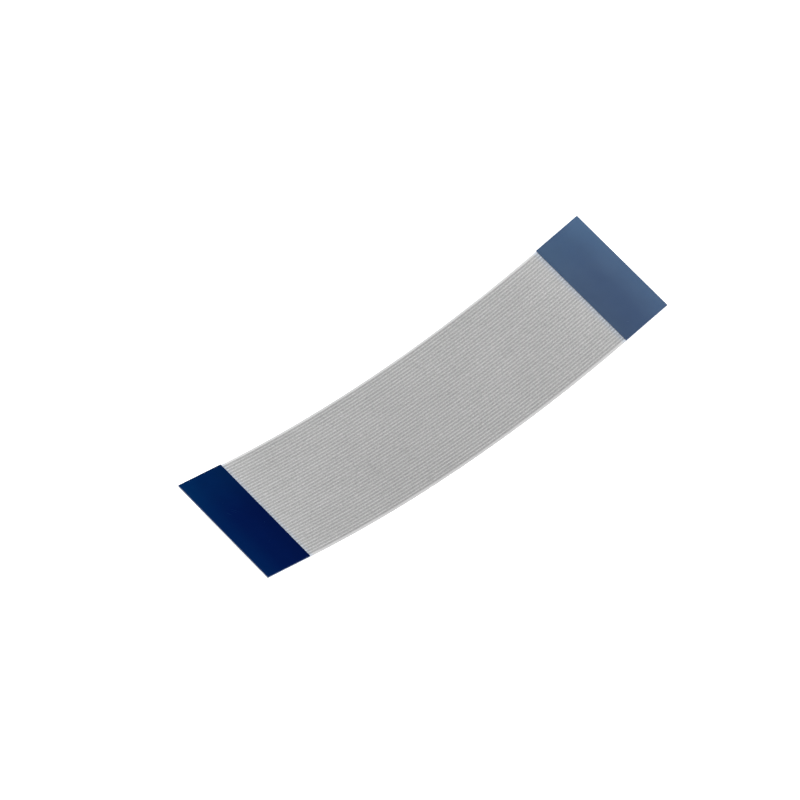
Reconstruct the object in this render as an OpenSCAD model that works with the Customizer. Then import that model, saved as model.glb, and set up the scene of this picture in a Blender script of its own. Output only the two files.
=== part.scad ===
// Flat flex cable with forty flat conductors, stiffened ends and contacts on its underside
// The strip lies on its belly along X and both ends curl upwards, with the stiffened tongues flat.

/* [Cable] */
// Number of flat conductors side by side
conductor_count = 40; // [4:1:50]
// Distance between the middles of neighbouring conductors
pitch = 0.5; // [0.42:0.01:1.25]
// Distance from the middle of the outermost conductor to the edge of the film
edge_margin = 0.5; // [0.3:0.05:2]
// Length along the strip from end to end, as it would be if laid flat
cable_length = 76; // [40:1:150]

/* [Conductors] */
// Width of a conductor
conductor_width = 0.3; // [0.1:0.01:0.36]
// Thickness of a conductor
conductor_thickness = 0.05; // [0.03:0.01:0.1]

/* [Films] */
// Thickness of each of the two insulating films
film_thickness = 0.06; // [0.04:0.01:0.12]
// Width of the slope where a film steps down beside a conductor
flank_width = 0.04; // [0.01:0.005:0.05]

/* [Ends] */
// Length of each stiffener, over which the end stays flat
stiffener_length = 8; // [6:0.5:14]
// Thickness of each stiffener above the ridges of the film
stiffener_thickness = 0.19; // [0.1:0.01:0.3]
// Length of bare contact at each end, where the lower film is stripped away
strip_length = 4; // [2:0.5:5.5]

/* [Bend] */
// Radius of the curl between the flat ends, measured at the middle of the conductors
bend_radius = 124; // [60:1:400]

/* [Hidden] */
$fn = 256;

// Across the strip
cable_width = (conductor_count - 1) * pitch + 2 * edge_margin;
half_conductor = conductor_width / 2;

// Through the strip, as distances from the axis of the curl
conductor_top = bend_radius - conductor_thickness / 2;
conductor_bottom = bend_radius + conductor_thickness / 2;
upper_ridge = conductor_top - film_thickness;
upper_valley = bend_radius - film_thickness;
lower_ridge = conductor_bottom + film_thickness;
lower_valley = bend_radius + film_thickness;
stiffener_top = upper_ridge - stiffener_thickness;

// Along the strip
bend_half_angle = (cable_length / 2 - stiffener_length) / bend_radius * 180 / PI;
// The curl is drawn a little past the middle of the strip and trimmed there
bend_overrun = 2;

function conductor_name(i) = str("conductor_", i < 10 ? "0" : "", i);
function conductor_place(i) = cable_width / 2 - edge_margin - (i - 1) * pitch;
function reversed(points) = [for (i = [len(points) - 1 : -1 : 0]) points[i]];

// Outline of one face of a layer, which steps from valley to ridge and back at each conductor
function stepped_face(valley, ridge, flank) = [
    for (i = [conductor_count : -1 : 1])
        let (middle = conductor_place(i), foot = half_conductor + flank)
        each [
            [valley, middle - foot],
            [ridge, middle - half_conductor],
            [ridge, middle + half_conductor],
            [valley, middle + foot]
        ]
];

function across(height, side) = [[height, side * cable_width / 2]];

// Cross-section of a film, with a groove over each conductor inside and a ridge outside
module film_section(valley, ridge, conductor_face) {
    outside = concat(
        across(valley, -1),
        stepped_face(valley, ridge, flank_width),
        across(valley, 1)
    );
    inside = concat(
        across(bend_radius, -1),
        stepped_face(bend_radius, conductor_face, 0),
        across(bend_radius, 1)
    );
    polygon(concat(outside, reversed(inside)));
}

module conductor_section(i) {
    translate([conductor_top, conductor_place(i) - half_conductor])
        square([conductor_thickness, conductor_width]);
}

// Cross-section of a stiffener, whose adhesive side follows the ridges of the upper film
module stiffener_section() {
    polygon(concat(
        across(stiffener_top, -1),
        across(upper_valley, -1),
        stepped_face(upper_valley, upper_ridge, flank_width),
        across(upper_valley, 1),
        across(stiffener_top, 1)
    ));
}

// Stands a shape drawn about the axis of the curl on its place at the left end of the strip
module at_left_end() {
    translate([0, 0, lower_ridge])
        rotate([90, 0, 0])
        rotate([0, 0, -90 - bend_half_angle])
        children();
}

// Draws a cross-section along the flat end, from trim short of the tip to the curl
module flat_end(trim) {
    rotate([90, 0, 0])
        linear_extrude(height = stiffener_length - trim)
        children();
}

// Draws a cross-section along the whole strip, stopping trim short of both tips
module along_strip(trim = 0) {
    for (side = [0, 1])
        mirror([side, 0, 0])
        intersection() {
            at_left_end() {
                flat_end(trim) children();
                rotate_extrude(angle = bend_half_angle + bend_overrun) children();
            }
            left_half_space();
        }
}

module left_half_space() {
    translate([-cable_length, -cable_width, -cable_width])
        cube([cable_length, 2 * cable_width, 2 * cable_length]);
}

module upper_film() {
    color("gainsboro")
        along_strip() film_section(upper_valley, upper_ridge, conductor_top);
}

module lower_film() {
    color("gainsboro")
        along_strip(strip_length) film_section(lower_valley, lower_ridge, conductor_bottom);
}

module conductor(i) {
    color("silver")
        along_strip() conductor_section(i);
}

module stiffener() {
    color("midnightblue")
        at_left_end() flat_end(0) stiffener_section();
}

module stiffener_left() {
    stiffener();
}

module stiffener_right() {
    mirror([1, 0, 0]) stiffener();
}

upper_film();
lower_film();
stiffener_left();
stiffener_right();
for (i = [1 : conductor_count])
    conductor(i);
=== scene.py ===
import math

import bpy
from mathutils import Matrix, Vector


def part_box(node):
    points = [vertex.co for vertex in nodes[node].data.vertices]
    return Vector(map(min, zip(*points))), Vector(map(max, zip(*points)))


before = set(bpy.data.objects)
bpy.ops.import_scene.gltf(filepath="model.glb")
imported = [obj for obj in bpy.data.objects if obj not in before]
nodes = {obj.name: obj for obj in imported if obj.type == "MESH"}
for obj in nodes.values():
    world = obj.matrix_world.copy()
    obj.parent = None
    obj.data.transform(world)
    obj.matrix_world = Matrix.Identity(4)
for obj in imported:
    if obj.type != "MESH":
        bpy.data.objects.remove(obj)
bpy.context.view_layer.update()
print("frame loaded:", len(nodes), "nodes")

scene = bpy.context.scene
scene.view_settings.view_transform = "Standard"
millimetre = 0.001


def direction(azimuth, elevation):
    # azimuth turns from +X towards +Y, elevation rises from the floor, both in degrees
    a = math.radians(azimuth)
    e = math.radians(elevation)
    return Vector((math.cos(a) * math.cos(e), math.sin(a) * math.cos(e), math.sin(e)))


def aimAt(thing, place, target):
    thing.location = place
    thing.rotation_mode = "QUATERNION"
    thing.rotation_quaternion = (target - place).to_track_quat("-Z", "Y")


# Camera: a long lens, looking down across the strip from its front left
camera = {
    "azimuth": 230.57,
    "elevation": 55.7,
    "distance": 1.7425,
    "lens": 540,
    "aim": (-0.00138, 0.00381, 0.00141),
    "nearest": 0.01,
    "farthest": 20,
}


def makeCamera():
    data = bpy.data.cameras.new("camera")
    data.lens = camera["lens"]
    data.clip_start = camera["nearest"]
    data.clip_end = camera["farthest"]
    thing = bpy.data.objects.new("camera", data)
    scene.collection.objects.link(thing)
    aim = Vector(camera["aim"])
    aimAt(thing, aim + direction(camera["azimuth"], camera["elevation"]) * camera["distance"], aim)
    scene.camera = thing


makeCamera()
print("camera set")

# Studio: a large softbox behind the right end, a wide fill square to the strip,
# and a floor like a light table, which leaves no shadow round the strip
studio = {
    "softbox": {"azimuth": 120, "elevation": 61, "distance": 0.6, "size": 0.3, "glow": 5},
    "fill": {"azimuth": 268, "elevation": 60, "distance": 0.9, "size": 0.8, "glow": 3.75},
    "floorSize": 6,
    "floorColour": (0.92, 0.92, 0.92, 1),
    "floorLight": (1, 1, 1, 1),
    "floorGlow": 0.6,
    "backdrop": (1, 1, 1, 1),
    "ambient": (0.02, 0.02, 0.02, 1),
}


def makeSoftbox(name, place):
    data = bpy.data.lights.new(name, "AREA")
    data.size = place["size"]
    data.energy = place["glow"] * math.pi * place["size"] ** 2
    thing = bpy.data.objects.new(name, data)
    thing.visible_camera = False
    scene.collection.objects.link(thing)
    aimAt(thing, direction(place["azimuth"], place["elevation"]) * place["distance"], Vector())


def makeFloor():
    bpy.ops.object.select_all(action="DESELECT")
    bpy.ops.mesh.primitive_plane_add(size=studio["floorSize"])
    floor = bpy.context.object
    floor.name = "floor"
    paint = bpy.data.materials.new("floor paint")
    paint.use_nodes = True
    shader = paint.node_tree.nodes["Principled BSDF"]
    shader.inputs["Base Color"].default_value = studio["floorColour"]
    shader.inputs["Roughness"].default_value = 1
    shader.inputs["Specular IOR Level"].default_value = 0
    shader.inputs["Emission Color"].default_value = studio["floorLight"]
    shader.inputs["Emission Strength"].default_value = studio["floorGlow"]
    floor.data.materials.append(paint)


def makeWorld():
    world = bpy.data.worlds.new("studio")
    world.use_nodes = True
    scene.world = world
    tree = world.node_tree
    tree.nodes.clear()
    out = tree.nodes.new("ShaderNodeOutputWorld")
    seen = tree.nodes.new("ShaderNodeBackground")
    seen.inputs["Color"].default_value = studio["backdrop"]
    lit = tree.nodes.new("ShaderNodeBackground")
    lit.inputs["Color"].default_value = studio["ambient"]
    mix = tree.nodes.new("ShaderNodeMixShader")
    path = tree.nodes.new("ShaderNodeLightPath")
    tree.links.new(path.outputs["Is Camera Ray"], mix.inputs["Fac"])
    tree.links.new(lit.outputs["Background"], mix.inputs[1])
    tree.links.new(seen.outputs["Background"], mix.inputs[2])
    tree.links.new(mix.outputs["Shader"], out.inputs["Surface"])


makeSoftbox("softbox", studio["softbox"])
makeSoftbox("fill", studio["fill"])
makeFloor()
makeWorld()
print("studio lit")


# Small helpers for building node trees; a socket given as an input is linked, anything else is set
def addNode(tree, kind, inputs=None, **settings):
    node = tree.nodes.new("ShaderNode" + kind)
    for name, value in settings.items():
        setattr(node, name, value)
    for name, value in (inputs or {}).items():
        if isinstance(value, bpy.types.NodeSocket):
            tree.links.new(value, node.inputs[name])
        else:
            node.inputs[name].default_value = value
    return node


def calc(tree, operation, *values, clamp=False):
    inputs = dict(enumerate(values))
    return addNode(tree, "Math", inputs, operation=operation, use_clamp=clamp).outputs[0]


def ramp(tree, value, start, end, low=0, high=1):
    # a smooth step from low to high as value goes from start to end
    inputs = {"Value": value, "From Min": start, "From Max": end, "To Min": low, "To Max": high}
    return addNode(tree, "MapRange", inputs, interpolation_type="SMOOTHSTEP").outputs["Result"]


def blendColours(tree, share, first, second):
    mix = addNode(tree, "Mix", data_type="RGBA")
    for socket, value in (("Factor_Float", share), ("A_Color", first), ("B_Color", second)):
        target = next(entry for entry in mix.inputs if entry.identifier == socket)
        if isinstance(value, bpy.types.NodeSocket):
            tree.links.new(value, target)
        else:
            target.default_value = value
    return next(entry for entry in mix.outputs if entry.identifier == "Result_Color")


def scaleColour(tree, colour, amount):
    inputs = {0: colour, "Scale": amount}
    return addNode(tree, "VectorMath", inputs, operation="SCALE").outputs[0]


def placeOf(tree):
    # the X, Y and Z of the shaded point, in metres
    return addNode(tree, "SeparateXYZ", {0: addNode(tree, "TexCoord").outputs["Object"]}).outputs


def uprightOf(tree):
    # 1 on a face that looks straight up, -1 on one that looks straight down, 0 on a wall
    normal = addNode(tree, "NewGeometry").outputs["True Normal"]
    return addNode(tree, "SeparateXYZ", {0: normal}).outputs["Z"]


noiseMiddle = 0.5  # a noise texture swings about this value
turnStart = 0.3  # a face turned less than this counts as a wall
turnFull = 0.7  # and a face turned more than this counts as level


def newGroup(name, inputs, outputs):
    group = bpy.data.node_groups.new(name, "ShaderNodeTree")
    for label, value in inputs.items():
        socket = group.interface.new_socket(label, in_out="INPUT", socket_type="NodeSocketFloat")
        socket.default_value = value
    for label in outputs:
        group.interface.new_socket(label, in_out="OUTPUT", socket_type="NodeSocketFloat")
    return group, group.nodes.new("NodeGroupInput").outputs, group.nodes.new("NodeGroupOutput").inputs


def useGroup(tree, group, **values):
    return addNode(tree, "Group", values, node_tree=group).outputs


def makeCloudGroup():
    # slow, soft change of tone; puts out a number near 1
    group, given, result = newGroup("cloud", {"Scale": 100, "Strength": 0.05}, ["Tone"])
    place = addNode(group, "TexCoord").outputs["Object"]
    noise = addNode(group, "TexNoise", {"Vector": place, "Scale": given["Scale"], "Detail": 3})
    middle = calc(group, "SUBTRACT", noise.outputs["Fac"], noiseMiddle)
    swing = calc(group, "MULTIPLY", middle, calc(group, "MULTIPLY", given["Strength"], 2))
    group.links.new(calc(group, "ADD", swing, 1), result["Tone"])
    return group


def makeGrainGroup():
    # streaks drawn out along X, as rolling and laminating leave them
    inputs = {"Along": 60, "Across": 4000, "Sharpness": 0.3}
    group, given, result = newGroup("drawn grain", inputs, ["Height"])
    x, y, z = placeOf(group)
    stretched = addNode(group, "CombineXYZ", {
        "X": calc(group, "MULTIPLY", x, given["Along"]),
        "Y": calc(group, "MULTIPLY", y, given["Across"]),
        "Z": calc(group, "MULTIPLY", z, given["Along"]),
    })
    noise = addNode(group, "TexNoise", {"Vector": stretched.outputs[0], "Scale": 1, "Detail": 2})
    low = calc(group, "SUBTRACT", noiseMiddle, given["Sharpness"])
    high = calc(group, "ADD", noiseMiddle, given["Sharpness"])
    group.links.new(ramp(group, noise.outputs["Fac"], low, high), result["Height"])
    return group


hairlineEdge = 0.06  # how softly a hairline fades out


def makeScratchGroup():
    # short hairlines at an angle to X; puts out 1 on a hairline
    inputs = {"Angle": 0.6, "Length": 150, "Fineness": 5000, "Rarity": 0.68}
    group, given, result = newGroup("hairlines", inputs, ["Mask"])
    place = addNode(group, "TexCoord").outputs["Object"]
    turned = addNode(group, "VectorRotate", {"Vector": place, "Angle": given["Angle"]},
                     rotation_type="Z_AXIS").outputs[0]
    x, y, z = addNode(group, "SeparateXYZ", {0: turned}).outputs
    stretched = addNode(group, "CombineXYZ", {
        "X": calc(group, "MULTIPLY", x, given["Length"]),
        "Y": calc(group, "MULTIPLY", y, given["Fineness"]),
    })
    noise = addNode(group, "TexNoise", {"Vector": stretched.outputs[0], "Scale": 1, "Detail": 1})
    high = calc(group, "ADD", given["Rarity"], hairlineEdge)
    group.links.new(ramp(group, noise.outputs["Fac"], given["Rarity"], high), result["Mask"])
    return group


cloud = makeCloudGroup()
grain = makeGrainGroup()
hairlines = makeScratchGroup()
print("node groups built")


def newMaterial(name):
    made = bpy.data.materials.new(name)
    made.use_nodes = True
    return made.node_tree, made.node_tree.nodes["Principled BSDF"], made


# Film: milky polyester, dull enough to show no lights, with the conductors showing through as rows
filmLook = {
    "margin": (0.648, 0.648, 0.648, 1),
    "marginPaintedSideLight": 0.038,
    "gap": (0.525, 0.525, 0.523, 1),
    "row": (0.37, 0.37, 0.371, 1),
    "overBlue": (0.38, 0.42, 0.48, 1),
    "blueEdge": 0.1 * millimetre,
    "roughness": 0.5,
    "gloss": 0.25,
    "rowPitch": 0.5 * millimetre,
    "rowMiddle": 0.5,
    "rowWidth": 0.3 * millimetre,
    "rowBlur": 0.05 * millimetre,
    "streaks": {"Along": 160, "Across": 2500, "Sharpness": 0.3},
    "streakTone": 0.03,
    "reliefDepth": 0.002 * millimetre,
    "blotches": {"Scale": 120, "Strength": 0.05},
    "dullness": {"Scale": 300, "Strength": 0.1},
    "scratches": {"Angle": 0.35, "Length": 120, "Fineness": 3500, "Rarity": 0.66},
    "scratchDulling": 0.1,
    "paintedSideLight": 0.025,
    "endLift": 0.06,
    "endReach": 7 * millimetre,
    "leftLift": 0.07,
    "leftStart": 5 * millimetre,
    "leftEnd": 29 * millimetre,
    "paintedBlueCast": (0.90, 0.98, 1.10),
    "blueCastReach": 0.9 * millimetre,
    "blueCastEdge": 0.05 * millimetre,
    "marginBlur": 0.15 * millimetre,
    "mottle": {"Scale": 5000, "Strength": 0.5},
}


def makeFilmMaterial():
    look = filmLook
    tree, shader, made = newMaterial("milky film")
    x, y, z = placeOf(tree)
    along = calc(tree, "ABSOLUTE", x)
    aside = calc(tree, "ABSOLUTE", y)
    # distance from the middle of the nearest conductor; none lies on the middle line of the strip
    across = calc(tree, "FRACT", calc(tree, "DIVIDE", y, look["rowPitch"]))
    offset = calc(tree, "ABSOLUTE", calc(tree, "SUBTRACT", across, look["rowMiddle"]))
    distance = calc(tree, "MULTIPLY", offset, look["rowPitch"])
    edge = look["rowWidth"] / 2
    row = ramp(tree, distance, edge - look["rowBlur"], edge + look["rowBlur"], 1, 0)
    colour = blendColours(tree, row, look["gap"], look["row"])
    # the adhesive between the films is finely mottled
    colour = scaleColour(tree, colour, useGroup(tree, cloud, **look["mottle"])["Tone"])
    # the margins have no conductor under them and look paler
    reach = -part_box("conductor_01")[0][1]
    outside = ramp(tree, aside, reach - look["marginBlur"], reach + look["marginBlur"])
    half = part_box("upper_film")[1][1]
    # the margin colour is painted a little paler towards +Y too, a painted side light
    marginSideLitTone = ramp(tree, y, -half, half, 1 - look["marginPaintedSideLight"], 1 + look["marginPaintedSideLight"])
    colour = blendColours(tree, outside, colour, scaleColour(tree, look["margin"][:3], marginSideLitTone))
    # where the lower film is stripped, the stiffener shows through from below
    upright = uprightOf(tree)
    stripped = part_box("lower_film")[1][0]
    bared = ramp(tree, along, stripped - look["blueEdge"], stripped)
    overBlue = calc(tree, "MULTIPLY", bared, ramp(tree, upright, -turnFull, -turnStart, 1, 0))
    colour = blendColours(tree, overBlue, colour, look["overBlue"])
    streaks = useGroup(tree, grain, **look["streaks"])["Height"]
    tone = ramp(tree, streaks, 0, 1, 1 - look["streakTone"], 1 + look["streakTone"])
    tone = calc(tree, "MULTIPLY", tone, useGroup(tree, cloud, **look["blotches"])["Tone"])
    # the strip is painted a little paler towards its +Y side, a painted side light; it is also a little
    # paler towards its left end and beside the stiffeners
    paintedSideLit = ramp(tree, y, -half, half, 1 - look["paintedSideLight"], 1 + look["paintedSideLight"])
    tone = calc(tree, "MULTIPLY", tone, paintedSideLit)
    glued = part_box("stiffener_right")[0][0]
    lift = ramp(tree, along, glued - look["endReach"], glued, 1, 1 + look["endLift"])
    tone = calc(tree, "MULTIPLY", tone, lift)
    left = ramp(tree, x, -look["leftEnd"], -look["leftStart"], 1 + look["leftLift"], 1)
    tone = calc(tree, "MULTIPLY", tone, left)
    # the upper face is painted a little bluer beside the stiffeners, a painted cast of blue light from
    # the stiffeners
    blueCastShare = ramp(tree, along, glued - look["blueCastReach"], glued)
    uncovered = ramp(tree, along, glued, glued + look["blueCastEdge"], 1, 0)
    blueCastShare = calc(tree, "MULTIPLY", blueCastShare, uncovered)
    blueCastShare = calc(tree, "MULTIPLY", blueCastShare, ramp(tree, upright, turnStart, turnFull))
    blueCastColour = addNode(tree, "VectorMath", {0: colour, 1: look["paintedBlueCast"]}, operation="MULTIPLY")
    colour = blendColours(tree, blueCastShare, colour, blueCastColour.outputs[0])
    tree.links.new(scaleColour(tree, colour, tone), shader.inputs["Base Color"])
    marks = useGroup(tree, hairlines, **look["scratches"])["Mask"]
    rough = calc(tree, "MULTIPLY", look["roughness"], useGroup(tree, cloud, **look["dullness"])["Tone"])
    rough = calc(tree, "ADD", rough, calc(tree, "MULTIPLY", marks, look["scratchDulling"]))
    tree.links.new(rough, shader.inputs["Roughness"])
    bump = addNode(tree, "Bump", {"Height": streaks, "Distance": look["reliefDepth"], "Strength": 1})
    tree.links.new(bump.outputs["Normal"], shader.inputs["Normal"])
    shader.inputs["Specular IOR Level"].default_value = look["gloss"]
    return made


# Stiffener: glossy blue polyester; its blue is painted darker towards the middle of the strip and
# lighter towards its tip and its +Y side, a painted sheen
stiffenerLook = {
    "innerShadedBlue": (0, 0.0056, 0.058, 1),
    "middleSheenBlue": (0, 0.0075, 0.070, 1),
    "outerSheenBlue": (0, 0.0145, 0.088, 1),
    "paintedSideSheen": (0, 0.0085, 0.017),
    "cutColour": (0.004, 0.03, 0.12, 1),
    "wander": {"Scale": 150, "Strength": 0.25},
    "wanderSwing": 0.3,
    "wanderReach": 0.015,
    "blotches": {"Scale": 700, "Strength": 0.06},
    "roughness": 0.22,
    "cutRoughening": 0.3,
    "dullness": {"Scale": 220, "Strength": 0.12},
    "tint": (0.51, 0.79, 1, 1),
    "curl": 8.5,
    "curlStart": 4 * millimetre,
    "twist": 1,
    "waves": {"Scale": 110, "Strength": 0.5},
    "waveHeight": 0.03 * millimetre,
    "scratches": {"Angle": 0.9, "Length": 250, "Fineness": 9000, "Rarity": 0.7},
    "crossScratches": {"Angle": -0.5, "Length": 300, "Fineness": 11000, "Rarity": 0.72},
    "scratchDulling": 0.05,
    "scratchDepth": 0.0002 * millimetre,
}


def makeStiffenerMaterial():
    look = stiffenerLook
    tree, shader, made = newMaterial("blue stiffener")
    x, y, z = placeOf(tree)
    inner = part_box("stiffener_right")[0][0]
    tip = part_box("stiffener_right")[1][0]
    along = calc(tree, "ABSOLUTE", x)
    # painted sheen: the blue runs from dark at the inner edge to lighter at the tip along a wavering
    # line, and is painted lighter towards +Y
    slow = useGroup(tree, cloud, **look["wander"])["Tone"]
    swing, wander = look["wanderSwing"], look["wanderReach"]
    wavy = calc(tree, "MULTIPLY", along, ramp(tree, slow, 1 - swing, 1 + swing, 1 - wander, 1 + wander))
    middle = (inner + tip) / 2
    sheenToMiddle = ramp(tree, wavy, inner, middle)
    sheenToTip = ramp(tree, wavy, middle, tip)
    colour = blendColours(tree, sheenToMiddle, look["innerShadedBlue"], look["middleSheenBlue"])
    colour = blendColours(tree, sheenToTip, colour, look["outerSheenBlue"])
    side = ramp(tree, y, 0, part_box("stiffener_right")[1][1])
    lift = scaleColour(tree, look["paintedSideSheen"], side)
    colour = addNode(tree, "VectorMath", {0: colour, 1: lift}, operation="ADD").outputs[0]
    # cut edges scatter light and look paler than the faces
    cut = ramp(tree, calc(tree, "ABSOLUTE", uprightOf(tree)), turnStart, turnFull, 1, 0)
    colour = blendColours(tree, cut, colour, look["cutColour"])
    tone = useGroup(tree, cloud, **look["blotches"])["Tone"]
    tree.links.new(scaleColour(tree, colour, tone), shader.inputs["Base Color"])
    marks = useGroup(tree, hairlines, **look["scratches"])["Mask"]
    crossMarks = useGroup(tree, hairlines, **look["crossScratches"])["Mask"]
    scratched = calc(tree, "MAXIMUM", marks, crossMarks)
    rough = calc(tree, "MULTIPLY", look["roughness"], useGroup(tree, cloud, **look["dullness"])["Tone"])
    rough = calc(tree, "ADD", rough, calc(tree, "MULTIPLY", scratched, look["scratchDulling"]))
    rough = calc(tree, "ADD", rough, calc(tree, "MULTIPLY", cut, look["cutRoughening"]))
    tree.links.new(rough, shader.inputs["Roughness"])
    # the end is not quite flat: it curls up a little towards its tip, and waves slightly
    beyond = calc(tree, "MAXIMUM", calc(tree, "SUBTRACT", along, inner + look["curlStart"]), 0)
    curled = calc(tree, "MULTIPLY", calc(tree, "MULTIPLY", beyond, beyond), look["curl"] / 2)
    waves = calc(tree, "MULTIPLY", useGroup(tree, cloud, **look["waves"])["Tone"], look["waveHeight"])
    fromInner = calc(tree, "SUBTRACT", along, inner)
    twisted = calc(tree, "MULTIPLY", calc(tree, "MULTIPLY", fromInner, y), look["twist"])
    height = calc(tree, "ADD", calc(tree, "ADD", curled, twisted), waves)
    height = calc(tree, "SUBTRACT", height, calc(tree, "MULTIPLY", scratched, look["scratchDepth"]))
    bump = addNode(tree, "Bump", {"Height": height, "Distance": 1, "Strength": 1})
    tree.links.new(bump.outputs["Normal"], shader.inputs["Normal"])
    shader.inputs["Specular Tint"].default_value = look["tint"]
    return made


# Tin plate: satin, rolled along the conductor and wiped duller here and there
tinLook = {
    "colour": (0.66, 0.65, 0.63, 1),
    "rolled": {"Along": 150, "Across": 9000, "Sharpness": 0.25},
    "smoothest": 0.26,
    "dullest": 0.44,
    "dullness": {"Scale": 500, "Strength": 0.2},
    "wipeMarks": {"Angle": 0, "Length": 500, "Fineness": 8000, "Rarity": 0.62},
    "wiped": 0.15,
}


def makeTinMaterial():
    look = tinLook
    tree, shader, made = newMaterial("tin plate")
    rolled = useGroup(tree, grain, **look["rolled"])["Height"]
    rough = ramp(tree, rolled, 0, 1, look["smoothest"], look["dullest"])
    rough = calc(tree, "MULTIPLY", rough, useGroup(tree, cloud, **look["dullness"])["Tone"])
    marks = useGroup(tree, hairlines, **look["wipeMarks"])["Mask"]
    rough = calc(tree, "ADD", rough, calc(tree, "MULTIPLY", marks, look["wiped"]))
    tree.links.new(rough, shader.inputs["Roughness"])
    shader.inputs["Base Color"].default_value = look["colour"]
    shader.inputs["Metallic"].default_value = 1
    return made


film = makeFilmMaterial()
blue = makeStiffenerMaterial()
tin = makeTinMaterial()
for name, node in nodes.items():
    node.data.materials.clear()
    node.data.materials.append(film if "film" in name else blue if "stiffener" in name else tin)
print("materials made")
